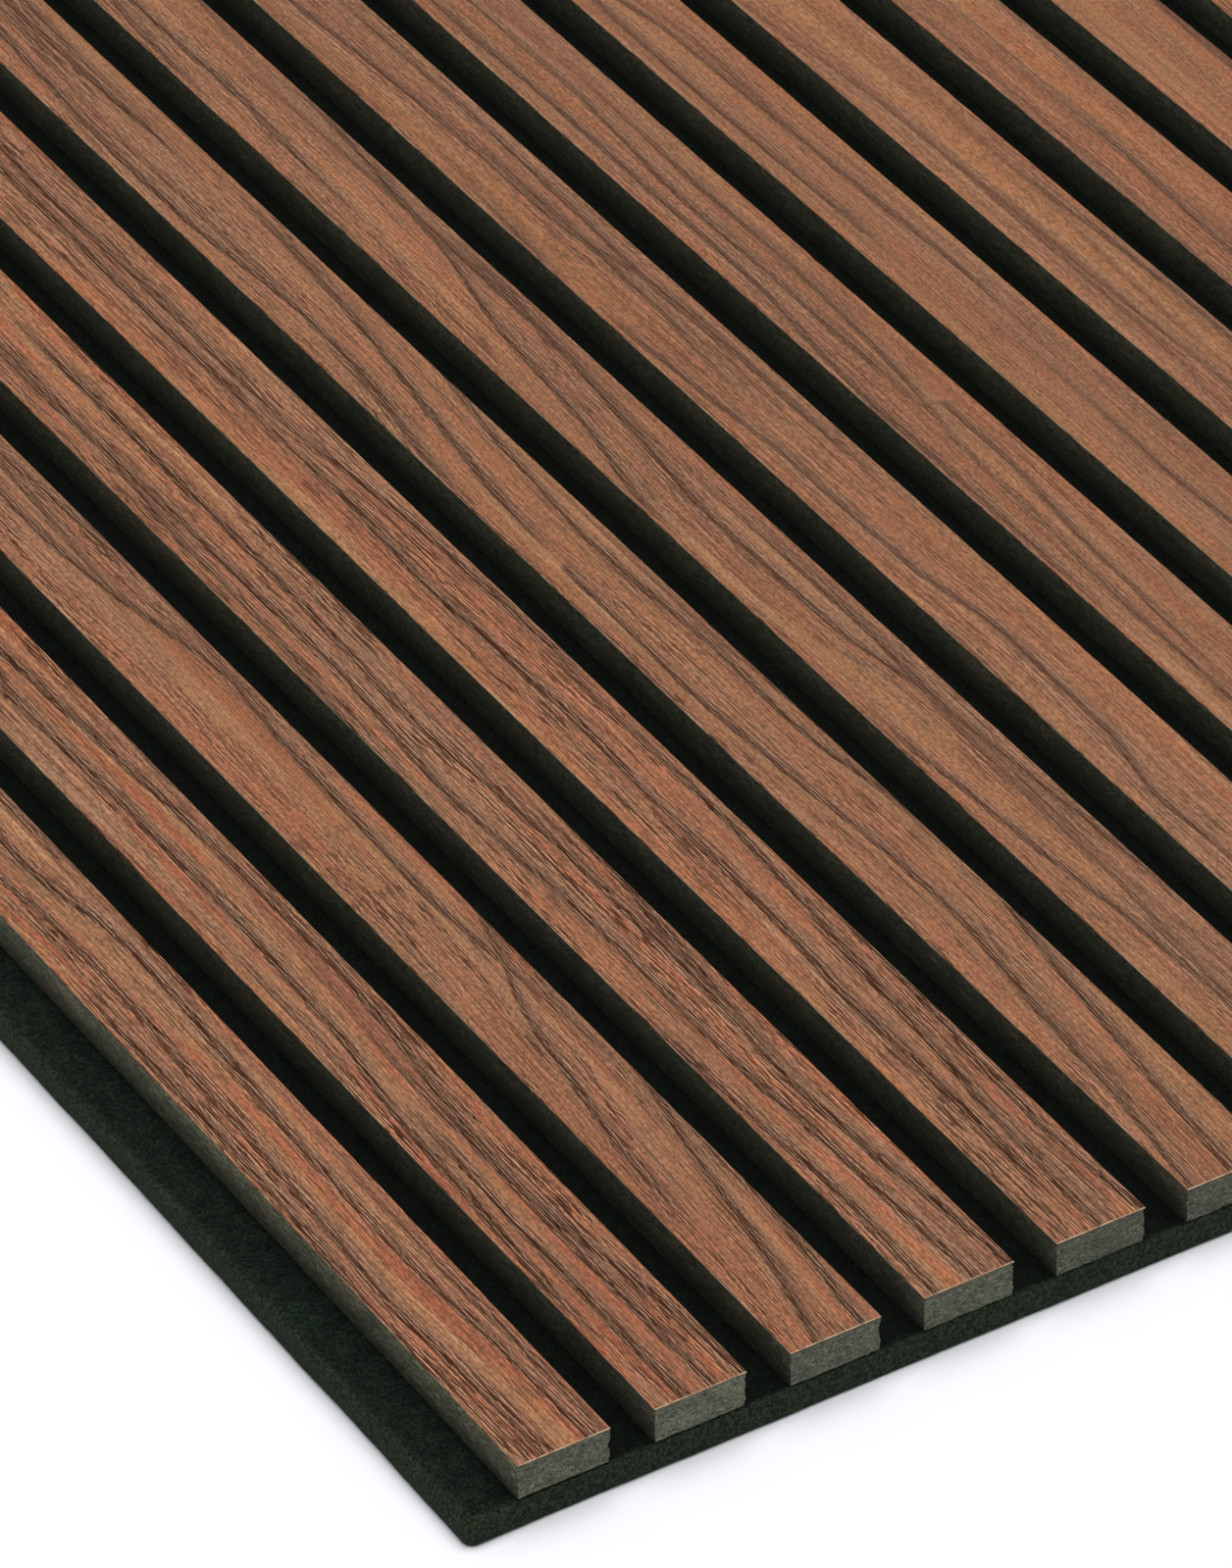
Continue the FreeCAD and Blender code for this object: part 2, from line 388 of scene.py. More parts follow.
# Each slat's own look, from the wide felt margin on: how warm it is, how strong its growth
# lines are, how open its pores are, and how light it is
slatLooks = [
    (1.0, 1.1, 1.05, 1.13), (0.95, 1.15, 1.05, 1.13), (0.6, 1.05, 0.95, 1.05),
    (0.8, 1.15, 1.0, 1.12), (0.7, 1.15, 0.95, 1.1), (0.45, 1.1, 0.85, 1.05),
    (0.45, 1.05, 0.75, 1.05), (0.4, 0.95, 0.65, 1.0), (0.45, 0.85, 0.55, 1.01),
    (0.45, 0.85, 0.5, 0.99), (0.35, 0.75, 0.45, 1.01), (0.5, 0.8, 0.5, 0.99),
    (0.4, 0.8, 0.45, 0.99), (0.5, 0.85, 0.68, 1.01), (0.35, 0.8, 0.6, 1.0),
]
# How many growth lines can run side by side on a slat
lineSlots = 4


def makeWalnut():
    material, tree = newMaterial("walnut veneer with dead matt lacquer")
    place = placeInMm(tree)
    along = addNode(tree, "SeparateXYZ", [place], "Y")
    up = addNode(tree, "SeparateXYZ", [place], "Z")
    across, growthAcross, fibreAcross, layer, warmth, openness, lightness = (
        addNode(tree, "Attribute", output="Fac", attribute_name=name) for name in (
            "across", "growthAcross", "fibreAcross", "layer", "warmth", "openness", "lightness",
        )
    )
    # Grain coordinates in mm: across the growth lines or the fibres, along the slat, and a
    # layer of its own for each slat
    growth = addNode(tree, "CombineXYZ", [growthAcross, along, layer])
    wide, long = walnut["swells"]
    swell = addNode(tree, "VectorMath", [growth, (1 / wide, 1 / long, 1)], **times)
    swell = addNode(tree, "TexNoise", {"Vector": swell, "Scale": 1.0, "Detail": 1.0})
    swell = addNode(tree, "MapRange", [swell, 0.2, 0.8, -walnut["swell"], walnut["swell"]])
    growthAcross = addNode(tree, "Math", [growthAcross, swell], operation="ADD")
    growth = addNode(tree, "CombineXYZ", [growthAcross, along, layer])
    fibres = addNode(tree, "CombineXYZ", [fibreAcross, along, layer])

    def grain(coordinates, wide, long, seed, detail=1.0, shift=0.0):
        # Noise drawn out along the slat, in spots about half this wide and long, in mm
        size = (1 / wide, 1 / long, 1)
        scaled = addNode(tree, "VectorMath", [coordinates, size], **times)
        offset = (seed * 3.7 + shift / wide, seed * 11.9, seed)
        moved = addNode(tree, "VectorMath", [scaled, offset], operation="ADD")
        return addNode(tree, "TexNoise", {"Vector": moved, "Scale": 1.0, "Detail": detail})

    # Growth lines: one sharp side, one that fades out, and a wide halo of greyer wood
    pull = walnut["linePull"]
    pulled = addNode(tree, "MapRange", [grain(fibres, *walnut["pull"]), 0.2, 0.8, -pull, pull])
    lines, halo = 0.0, 0.0
    for slot in range(lineSlots):
        away = addNode(tree, "Attribute", output="Fac", attribute_name=f"lineAway{slot}")
        strength = addNode(tree, "Attribute", output="Fac", attribute_name=f"lineStrength{slot}")
        away = addNode(tree, "Math", [away, pulled], operation="ADD")
        softSide = addNode(tree, "Math", [away, walnut["lineSoftSide"]], operation="DIVIDE")
        sharpSide = addNode(tree, "Math", [away, -walnut["lineSharpSide"]], operation="DIVIDE")
        reach = addNode(tree, "Math", [softSide, sharpSide], operation="MAXIMUM")
        line = addNode(tree, "MapRange", [reach, 1.0, 0.1], **smooth)
        line = addNode(tree, "Math", [line, strength], **times)
        lines = addNode(tree, "Math", [lines, line], operation="MAXIMUM")
        around = addNode(tree, "MapRange", [reach, walnut["haloReach"], 0.4], **smooth)
        around = addNode(tree, "Math", [around, strength], **times)
        halo = addNode(tree, "Math", [halo, around], operation="MAXIMUM")

    # Bands of darker, of warmer and of clear honey wood, and faint lines between the main ones
    bands, glow, clear, faint, where = (
        addNode(tree, "MapRange", [grain(growth, *walnut[pattern]), *limits], **smooth)
        for pattern, limits in (
            ("bands", (0.46, 0.62, 1.0, 0.88)), ("glow", (0.39, 0.60)), ("clear", (0.48, 0.62)),
            ("faintLines", (0.54, 0.66, 0, 0.6)), ("faintAreas", (0.38, 0.60, 0.15, 1)),
        )
    )
    glow = addNode(tree, "Math", [glow, warmth], **times)
    faint = addNode(tree, "Math", [faint, where], **times)
    grey = addNode(tree, "Math", [halo, 0.85], **times)
    grey = addNode(tree, "Math", [grey, faint], operation="MAXIMUM")

    # Hairlines and open pores are dark, with a painted highlight along one side for lacquer
    # catching the light. They gather about the growth lines and are fainter in clear wood. Pores
    # come out 0.2 mm wide, as real ones are, and hairlines 0.3 mm, which is coarser than real, to
    # show.
    gather = grain(growth, *walnut["gather"])
    gather = addNode(tree, "MapRange", [gather, 0.38, 0.62, 0.55, 1], **smooth)
    closed = addNode(tree, "MapRange", [clear, 0.0, 1.0, 1.0, 0.6])
    gather = addNode(tree, "Math", [gather, closed], **times)
    gather = addNode(tree, "Math", [gather, halo], operation="MAXIMUM")
    crowd = addNode(tree, "MapRange", [gather, 0.25, 1.0, -0.02, 0.01])
    gather = addNode(tree, "Math", [gather, openness], **times)
    poreWidth, poreLength = walnut["poreWidth"], walnut["poreLength"]

    def darkMarks(shift):
        # Short, common and long pores, then hairlines, all moved sideways as far as shift
        found = 0.0
        for wide, long, seed, start in (
            (poreWidth * 0.85, poreLength * 0.7, 21, 0.58), (poreWidth, poreLength, 12, 0.585),
            (poreWidth * 1.1, poreLength * 2, 13, 0.605),
            (walnut["hairlineWidth"], walnut["hairlineLength"], 14, 0.635),
        ):
            mark = grain(fibres, wide, long, seed, shift=shift)
            mark = addNode(tree, "Math", [mark, crowd], operation="ADD")
            mark = addNode(tree, "MapRange", [mark, start, start + 0.04], **smooth)
            found = addNode(tree, "Math", [found, mark], operation="MAXIMUM")
        return addNode(tree, "Math", [found, gather], **times)

    # The dark marks, then the same marks moved sideways as painted highlights beside them
    marks, paintedGlints = darkMarks(0.0), darkMarks(walnut["glintShift"])

    # Each layer of colour: how much of it, and which
    shortFibre, longFibre, mottle = (
        grain(fibres, *walnut[pattern]) for pattern in ("shortFibre", "longFibre", "mottle")
    )
    # Pale streaks along the long fibres: paler fibres, with painted sheen on them
    sheenStreaks = addNode(tree, "MapRange", [longFibre, 0.52, 0.72], **smooth)
    layers = []
    for share, amount, tone in (
        (clear, 0.52, "honey"), (glow, 1.0, "orangeBrown"), (sheenStreaks, 0.15, "paleFibre"),
        (grey, 0.75, "greyBrown"), (lines, 0.8, "growthLine"), (paintedGlints, 0.36, "paleFibre"),
        (marks, 0.92, "poreShadow"),
    ):
        layers.append((addNode(tree, "Math", [share, amount], **times), tone))
    colour = layTones(tree, linearColour(walnut["tan"]), walnut, layers)
    shades = [
        addNode(tree, "MapRange", [fibre, 0.3, 0.7, dark, light], **smooth)
        for fibre, dark, light in (
            (shortFibre, 0.62, 1.12), (longFibre, 0.88, 1.02), (mottle, 0.93, 1.03),
        )
    ]
    for shade in (*shades, bands, lightness):
        colour = addNode(tree, "VectorMath", {0: colour, 3: shade}, operation="SCALE")

    # Sanding leaves the arris pale, with a painted highlight on it too, and under it the edge of
    # the leaf is dark with glue
    ragged = grain(fibres, *walnut["ragged"])
    fromMiddle = addNode(tree, "Math", [across], operation="ABSOLUTE")
    fromMiddle = addNode(tree, "Math", [fromMiddle, ragged], operation="SUBTRACT")
    halfWidth = slatWidth / mm / 2
    limits = [halfWidth - inset for inset in walnut["paleSides"]]
    sides = addNode(tree, "MapRange", [fromMiddle, *limits], **smooth)
    # Painted highlight: the arris on the right is painted less pale than the one on the left
    paintedArrisLight = addNode(tree, "MapRange", [across, -5, 5, 1.0, 0.45], **smooth)
    sides = addNode(tree, "Math", [sides, paintedArrisLight], **times)
    fromEnds = addNode(tree, "Math", [along], operation="ABSOLUTE")
    endLine = coreHigh.y / mm
    limits = [endLine - inset for inset in walnut["paleEnds"]]
    ends = addNode(tree, "MapRange", [fromEnds, *limits], **smooth)
    cut = addNode(tree, "Math", [sides, ends], operation="MAXIMUM")
    broken = addNode(tree, "MapRange", [ragged, 0.35, 0.6, 0.35, 0.95], **smooth)
    cut = addNode(tree, "Math", [cut, broken], **times)
    leafTop = veneerHigh.z / mm
    limits = [leafTop - down for down in walnut["glue"]]
    glued = addNode(tree, "MapRange", [up, *limits, 0, 0.85], **smooth)
    colour = layTones(tree, colour, walnut, [(cut, "cutEdge"), (glued, "glueLine")])

    height = addNode(tree, "Math", [shortFibre, marks], operation="SUBTRACT")
    depth = walnut["poreDepth"] * mm
    bump = addNode(tree, "Bump", {"Height": height, "Strength": 0.5, "Distance": depth})
    roughest, smoothest = walnut["roughness"] + 0.07, walnut["roughness"] - 0.07
    rough = addNode(tree, "MapRange", [longFibre, 0.2, 0.8, roughest, smoothest])
    shader = addNode(tree, "BsdfPrincipled", {
        "Base Color": colour, "Roughness": rough, "IOR": 1.5,
        "Specular IOR Level": walnut["specular"], "Normal": bump,
    })
    addNode(tree, "OutputMaterial", [shader])
    return material


def veneerStations(near, far):
    # Places along the slat: close together at the two ends, then every few millimetres
    fine = [0.0] + [place * mm for place in (walnut["arris"], *walnut["endStations"])]
    start = walnut["stationsFrom"] * mm
    middle = np.linspace(near + start, far - start, walnut["stations"])
    return [near + f for f in fine] + list(middle) + [far - f for f in reversed(fine)]


def slatLines(number, stations):
    # Where each growth line runs and how strong it is at every station, slot by slot
    along = (np.array(stations) - stations[0]) / mm
    fadeLength, blend = walnut["lineFade"], np.hanning(9)
    slots = [[] for _ in range(lineSlots)]
    for path in sorted(growthLines.get(number, [])):
        free = [s for s in slots if not s or s[-1][-1][0] < path[0][0]]
        if free:
            free[0].append(path)
    places = np.zeros((lineSlots, len(along)))
    strengths = np.zeros((lineSlots, len(along)))
    for slot, paths in enumerate(slots):
        # By itself a line wanders about its own quarter of the slat and fades in and out
        start = paths[-1][-1][0] if paths else -200
        for s, y in enumerate(along):
            drift = wobble(y / 260, slot * 4.7, number * 2.9) * walnut["lineWander"]
            drift += wobble(y / 70, slot, number, 3.0) * walnut["lineWaver"]
            places[slot, s] = (slot + 0.5) * slatWidth / mm / lineSlots + drift
            strength = 0.55 + 1.6 * wobble(y / 170, slot * 8.1, number, 6.0)
            strengths[slot, s] = min(1.0, max(0.0, strength))
        strengths[slot] *= np.clip((along - start - fadeLength) / fadeLength, 0, 1)
        for path in paths:
            ys, xs = zip(*path)
            inside = (along >= ys[0] - fadeLength) & (along <= ys[-1] + fadeLength)
            padded = np.pad(np.interp(along, ys, xs), 4, mode="edge")
            eased = np.convolve(padded, blend / blend.sum(), "valid")
            # A line that starts near the end is there from the cut on
            grow = np.clip((along - ys[0] + fadeLength) / fadeLength, 0, 1)
            if ys[0] < fadeLength:
                grow = np.ones(len(along))
            shrink = np.clip((ys[-1] + fadeLength - along) / fadeLength, 0, 1)
            places[slot][inside] = eased[inside]
            strengths[slot][inside] = (grow * shrink)[inside]
    return places, strengths * slatLooks[number - 1][1]


def makeVeneer(number, material):
    node = f"slat_veneer_{number:02d}"
    low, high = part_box(node)
    arris = walnut["arris"] * mm
    inset = walnut["columnsFrom"] * mm
    inner = np.linspace(low.x + inset, high.x - inset, walnut["columns"])
    long, short = (length * mm for length in walnut["nickLengths"])
    stations = veneerStations(low.y, high.y)
    points = []
    for y in stations:
        # Small nicks where the saw lifted the edge of the leaf
        nicks = []
        for side in (1, 2):
            torn = wobble(y / long, number * 3.1, side * 9.7)
            torn += 0.5 * wobble(y / short, number, side)
            nicks.append(max(0.0, torn - 0.12) * walnut["nickDepth"] * mm)
        left, right = low.x + nicks[0], high.x - nicks[1]
        atEnd = y in (low.y, high.y)
        top = high.z - arris if atEnd else high.z
        points += [(left, y, low.z), (left, y, high.z - arris), (left + arris, y, top)]
        points += [(x, y, top) for x in inner]
        points += [(right - arris, y, top), (right, y, high.z - arris), (right, y, low.z)]
    ring = 6 + len(inner)
    rings = len(points) // ring
    faces = []
    for r in range(rings - 1):
        for c in range(ring):
            a, b = r * ring + c, r * ring + (c + 1) % ring
            faces.append((a, a + ring, b + ring, b))
    faces.append(tuple(range(ring)))
    faces.append(tuple((rings - 1) * ring + c for c in reversed(range(ring))))

    # The fibres lean some of the way that the nearest growth lines do. A line pulls less from
    # farther off, and none leans them more than 0.3 mm to the millimetre.
    fromLeft = (np.array([p[0] for p in points]).reshape(rings, ring) - low.x) / mm
    places, strengths = slatLines(number, stations)
    gaps = np.diff(np.array(stations) / mm, prepend=stations[0] / mm)
    pull, weight = np.zeros((rings, ring)), np.full((rings, ring), 0.06)
    for slot in range(lineSlots):
        rise = np.diff(places[slot], prepend=places[slot][0])
        rise = np.clip(np.divide(rise, gaps, out=np.zeros(rings), where=gaps > 1), -0.3, 0.3)
        near = strengths[slot][:, None] / (np.abs(fromLeft - places[slot][:, None]) + 4)
        pull += near * rise[:, None]
        weight += near
    leaning = np.cumsum(pull / weight * gaps[:, None], axis=0)
    size = len(points)
    warmth, _, openness, lightness = slatLooks[number - 1]
    attributes = {
        "across": (fromLeft - slatWidth / mm / 2).ravel(),
        "growthAcross": (fromLeft - leaning).ravel(),
        "fibreAcross": (fromLeft - leaning * walnut["fibreFollow"]).ravel(),
        "layer": [number * 7.31] * size,
        "warmth": [warmth] * size,
        "openness": [openness] * size,
        "lightness": [lightness] * size,
    }
    for slot in range(lineSlots):
        attributes[f"lineAway{slot}"] = (fromLeft - places[slot][:, None]).ravel()
        attributes[f"lineStrength{slot}"] = np.repeat(strengths[slot], ring)
    name = f"walnut_face_{number:02d}"
    addPiece(name, points, faces, material, node, attributes)


walnutMaterial = makeWalnut()
for slatNumber in range(1, slatCount + 1):
    makeVeneer(slatNumber, walnutMaterial)
print("walnut faces made")


# Slat cores: medium density fibreboard, dyed through, ripped and cross-cut with a saw.
# The eye gets a dull grey green, with matted fibres, pits and a torn edge where the saw left
# the board.

fibreboard = {
    "sawnEnd": "#4c5042",
    "sawnSide": "#43452f",
    "darkPit": "#23261f",
    "paleFibre": "#838571",
    "dust": "#6d614a",
    "roughness": 0.85,
    # Painted shade on the sides: how light they are at the felt and at the veneer, and how light
    # the first slat's open side and all other sides are against that
    "shadeAtFelt": 0.34,
    "atVeneer": 1.02,
    "openSide": 1.2,
    "shadedSides": 0.75,
    # How light each slat's cut is, from the wide margin on, and the rest are about the last
    "endTones": [0.97, 1.14, 0.96, 0.94, 0.8, 0.87],
    # Patterns and their relief, in mm. Where there are four numbers, the last is the detail.
    "fibreSize": 0.9,
    "pitSize": 1.0,
    "clouds": (9.0, 30.0, 5.0, 2.0),
    "dustSpots": (5.0, 12.0, 3.5, 3.0),
    "relief": 0.2,
    # The sawn ends, in mm: the mesh's squares, how rough the cut is and how far its rim stands
    # back, how far its right-hand edge is torn, its left-hand one is worn and its foot is
    # lifted, how soon that fades along the slat, and the rings it takes
    "cell": 0.45,
    "endRoughness": 0.22,
    "rimBack": 0.1,
    "tear": 1.0,
    "leftWear": 0.12,
    "lift": 0.35,
    "wearReach": 1.4,
    "rings": [0.5, 0.9, 1.5, 2.4, 3.8, 7],
}


def makeFibreboard():
    material, tree = newMaterial("dyed fibreboard, sawn")
    place = placeInMm(tree)
    sideways = addNode(tree, "SeparateXYZ", [place], "X")
    up = addNode(tree, "SeparateXYZ", [place], "Z")

    def boardNoise(wide, long, thick, detail, distortion=0.0):
        # Noise in spots about half this large across, along and through the board, in mm
        size = (1 / wide, 1 / long, 1 / thick)
        scaled = addNode(tree, "VectorMath", [place, size], **times)
        return addNode(tree, "TexNoise", {
            "Vector": scaled, "Scale": 1.0, "Detail": detail, "Roughness": 0.6,
            "Distortion": distortion,
        })

    fibre, pit = fibreboard["fibreSize"], fibreboard["pitSize"]
    matted = boardNoise(fibre * 1.6, fibre * 2.5, fibre * 0.7, 4.0, 1.2)
    cloudy = boardNoise(*fibreboard["clouds"])
    pits, dusty = boardNoise(pit, pit, pit, 2.0), boardNoise(*fibreboard["dustSpots"])
    pits = addNode(tree, "MapRange", [pits, 0.61, 0.67, 0, 0.9], **smooth)
    dusty = addNode(tree, "MapRange", [dusty, 0.45, 0.62, 0, 0.4], **smooth)
    normal = addNode(tree, "NewGeometry", output="Normal")
    facing = addNode(tree, "SeparateXYZ", [normal], "Y")
    facing = addNode(tree, "Math", [facing], operation="ABSOLUTE")
    isEnd = addNode(tree, "MapRange", [facing, 0.4, 0.8], **smooth)
    pale = addNode(tree, "MapRange", [matted, 0.50, 0.66, 0.0, 0.75], **smooth)
    dark = addNode(tree, "MapRange", [matted, 0.48, 0.34, 0.0, 0.85], **smooth)
    colour = layTones(tree, linearColour(fibreboard["sawnSide"]), fibreboard, [
        (isEnd, "sawnEnd"), (dusty, "dust"), (pale, "paleFibre"), (dark, "darkPit"),
        (pits, "darkPit"),
    ])

    # Painted shade: the sides are darker towards the felt, down between the slats, and the open
    # side of the first slat is painted lighter than all other sides
    edgeX = coreLow.x / mm
    limits = edgeX + 1, edgeX + 2, fibreboard["openSide"], fibreboard["shadedSides"]
    paintedSideLight = addNode(tree, "MapRange", [sideways, *limits], **smooth)
    limits = feltHigh.z / mm, coreHigh.z / mm, fibreboard["shadeAtFelt"], fibreboard["atVeneer"]
    low = addNode(tree, "MapRange", [up, *limits], **smooth)
    low = addNode(tree, "Math", [low, paintedSideLight], **times)
    tone = addNode(tree, "Attribute", output="Fac", attribute_name="tone")
    shade = addNode(tree, "Mix", {0: isEnd, 2: low, 3: tone})
    clouds = addNode(tree, "MapRange", [cloudy, 0.3, 0.7, 0.84, 1.12], **smooth)
    shade = addNode(tree, "Math", [shade, clouds], **times)
    colour = addNode(tree, "VectorMath", {0: colour, 3: shade}, operation="SCALE")
    height = addNode(tree, "Math", [matted, pits], operation="SUBTRACT")
    depth = fibreboard["relief"] * mm
    bump = addNode(tree, "Bump", {"Height": height, "Strength": 0.7, "Distance": depth})
    shader = addNode(tree, "BsdfPrincipled", {
        "Base Color": colour, "Roughness": fibreboard["roughness"], "IOR": 1.45, "Normal": bump,
    })
    addNode(tree, "OutputMaterial", [shader])
    return material


def coreEnd(low, high, end, number):
    # One sawn end: a fine grid over the cut, then rings back along the slat until it is plain.
    # The last ring is the core's own plain section.
    inward = 1 if end == low.y else -1
    cell = fibreboard["cell"] * mm
    nx = round((high.x - low.x) / cell)
    nz = round((high.z - low.z) / cell)
    xs = np.linspace(low.x, high.x, nx + 1)
    zs = np.linspace(low.z, high.z, nz + 1)
    key = number * 2 + (inward > 0)

    def worn(x, z, depth):
        # Where the saw left a point: torn over the last 7 % at the right-hand edge, worn over
        # the first 4 % at the left-hand one, and lifted along the lowest 30 %
        fade = math.exp(-depth / (fibreboard["wearReach"] * mm))
        share = (x - low.x) / (high.x - low.x)
        height = (z - low.z) / (high.z - low.z)
        tearing = fibreboard["tear"] * mm * fade * max(0.0, (share - 0.93) / 0.07)
        ragged = wobble(z / (3.2 * mm), key * 1.7, 0.3) + 0.5 * wobble(z / (0.9 * mm), key, 4.0)
        newX = x - tearing * max(0.0, 0.35 + 0.9 * ragged + 0.35 * max(0.0, 0.25 - height) / 0.25)
        if share < 0.04:
            newX += fibreboard["leftWear"] * mm * fade * (1 + wobble(z / (1.6 * mm), key, 8.0))
        lifting = fibreboard["lift"] * mm * fade * max(0.0, (0.3 - height) / 0.3)
        chips = 0.45 + wobble(x / (4.5 * mm), key, 6.0) + 0.5 * wobble(x / (1.3 * mm), key, 7.0)
        return newX, z + lifting * max(0.0, min(1.0, chips))

    points, index = [], {}
    for i, x in enumerate(xs):
        for j, z in enumerate(zs):
            onRim = i in (0, nx) or j == 0
            rough = 0.5 + 0.5 * wobble(x / (1.3 * mm), z / (1.1 * mm), key, 2.0)
            rough += 0.6 * abs(wobble(x / (0.6 * mm), z / (0.5 * mm), key, 3.0))
            depth = fibreboard["endRoughness"] * mm * rough
            depth += fibreboard["rimBack"] * mm if onRim else 0
            newX, newZ = worn(x, z, 0.0)
            index[i, j] = len(points)
            points.append((newX, end + inward * depth, newZ))
    faces = []
    for i in range(nx):
        for j in range(nz):
            quad = (index[i, j], index[i + 1, j], index[i + 1, j + 1], index[i, j + 1])
            faces.append(quad if inward > 0 else quad[::-1])
    rim = [(i, 0) for i in range(nx)] + [(nx, j) for j in range(nz)]
    rim += [(i, nz) for i in range(nx, 0, -1)] + [(0, j) for j in range(nz, 0, -1)]
    last = [index[r] for r in rim]
    for reach in fibreboard["rings"]:
        depth = reach * mm
        plainRing = reach == fibreboard["rings"][-1]
        ring = []
        for i, j in rim:
            x, z = (xs[i], zs[j]) if plainRing else worn(xs[i], zs[j], depth)
            ring.append(len(points))
            points.append((x, end + inward * depth, z))
        for k in range(len(rim)):
            following = (k + 1) % len(rim)
            quad = (last[k], ring[k], ring[following], last[following])
            faces.append(quad if inward > 0 else quad[::-1])
        last = ring
    return points, faces, last, (nx, nz)


def makeCore(number, material):
    node = f"slat_core_{number:02d}"
    low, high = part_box(node)
    points, faces, nearRing, (nx, nz) = coreEnd(low, high, low.y, number)
    farPoints, farFaces, farRing, _ = coreEnd(low, high, high.y, number)
    start = len(points)
    points += farPoints
    faces += [tuple(start + v for v in face) for face in farFaces]
    farRing = [start + v for v in farRing]
    # Four plain long sides join the two ends
    corners = [0, nx, nx + nz, nx + nz + nx, len(nearRing)]
    for first, second in zip(corners, corners[1:]):
        stretch = [k % len(nearRing) for k in range(first, second + 1)]
        around = [farRing[k] for k in reversed(stretch)] + [nearRing[k] for k in stretch]
        faces.append(tuple(around))
    tones = fibreboard["endTones"]
    tone = tones[min(number, len(tones)) - 1] + 0.06 * wobble(number * 1.3, 0.5, 0.5)
    name = f"board_core_{number:02d}"
    attributes = {"tone": [tone] * len(points)}
    addPiece(name, points, faces, material, node, attributes)


boardMaterial = makeFibreboard()
for slatNumber in range(1, slatCount + 1):
    makeCore(slatNumber, boardMaterial)
print("fibreboard cores made")


# Felt backing: polyester fibre, needled and pressed to a 9 mm board, then cut with a knife.
# The eye gets a soft near-black green, short fibres lying every way and a rounded, paler edge.

felt = {
    "fibreDark": "#050a08",
    "fibreMid": "#0e1811",
    "fibrePale": "#344735",
    "cutEdge": "#2d3729",
    "heatLine": "#3c3128",
    "sheenTint": "#8f9c86",
    "roughness": 0.95,
    "specular": 0.1,
    "sheen": 0.04,
    # Painted shade: how dark the felt between the slats is, against the open margins
    "shadeBetweenSlats": 0.35,
    # Patterns: size in mm, the noise's detail and distortion, and a seed
    "tufts": (0.8, 2.0, 0.8, 4),
    "clouds": (6.0, 3.0, 0.5, 3),
    "speckle": (0.9, 3.0, 0.0, 6),
    # Curled fibres: size in mm, how far they bend, how thin they are, and a seed
    "curls": ((1.3, 2.5, 0.035, 1), (2.1, 3.5, 0.02, 2)),
    # In mm: relief of the fibres, then the sheet's outline, its corners, the steps along it and
    # how far the wandering cut lies inside it
    "relief": 0.25,
    "cornerRadius": 3.4,
    "step": 2.2,
    "cutBack": 0.32,
    # How the knife wandered: depth and length of each wave, in mm, and a seed
    "knifeWaves": ((0.34, 38, 0), (0.16, 12, 0), (0.10, 3, 2)),
    # The near left corner's sag, how far it reaches and how far it stills the waves, in mm
    "cornerSag": 1.6,
    "sagReach": 45,
    "calmReach": 14,
    # Section through the edge from the back to the face: inset and height in mm, and how much
    # of the cut edge's colour shows
    "section": [
        (4.0, 0.0, 0.0), (2.0, 0.02, 0.1), (1.0, 0.12, 0.5), (0.4, 0.5, 0.9), (0.1, 1.3, 1.0),
        (0.0, 2.6, 1.0), (0.0, 4.2, 1.0), (0.02, 5.8, 1.0), (0.06, 7.4, 1.0), (0.22, 8.3, 1.0),
        (0.6, 8.8, 0.95), (1.2, 9.0, 0.6), (2.2, 8.95, 0.25), (3.4, 9.0, 0.05), (5.5, 9.0, 0.0),
    ],
    # Rows of staples are farther apart than this, in mm
    "rowsApart": 100,
    # The dimple about a staple: half its size at the crown and how far it spreads, in mm, then
    # its rings, as shares of the spread and of the depth
    "dimpleDepth": 0.75,
    "dimpleHalf": (0.9, 5.8),
    "dimpleSpread": (1.3, 1.8),
    "dimpleRings": [(0.0, 1.0), (0.55, 0.95), (1.0, 0.55), (1.5, 0.15), (2.2, 0.0)],
    "dimplePoints": 16,
    # Loose points over the flat areas: how far they stay from the edge and from a staple, in
    # mm, and how many there are each way
    "pointsFromEdge": 16,
    "pointsFromStaple": 12,
    "pointCounts": (30, 120),
}


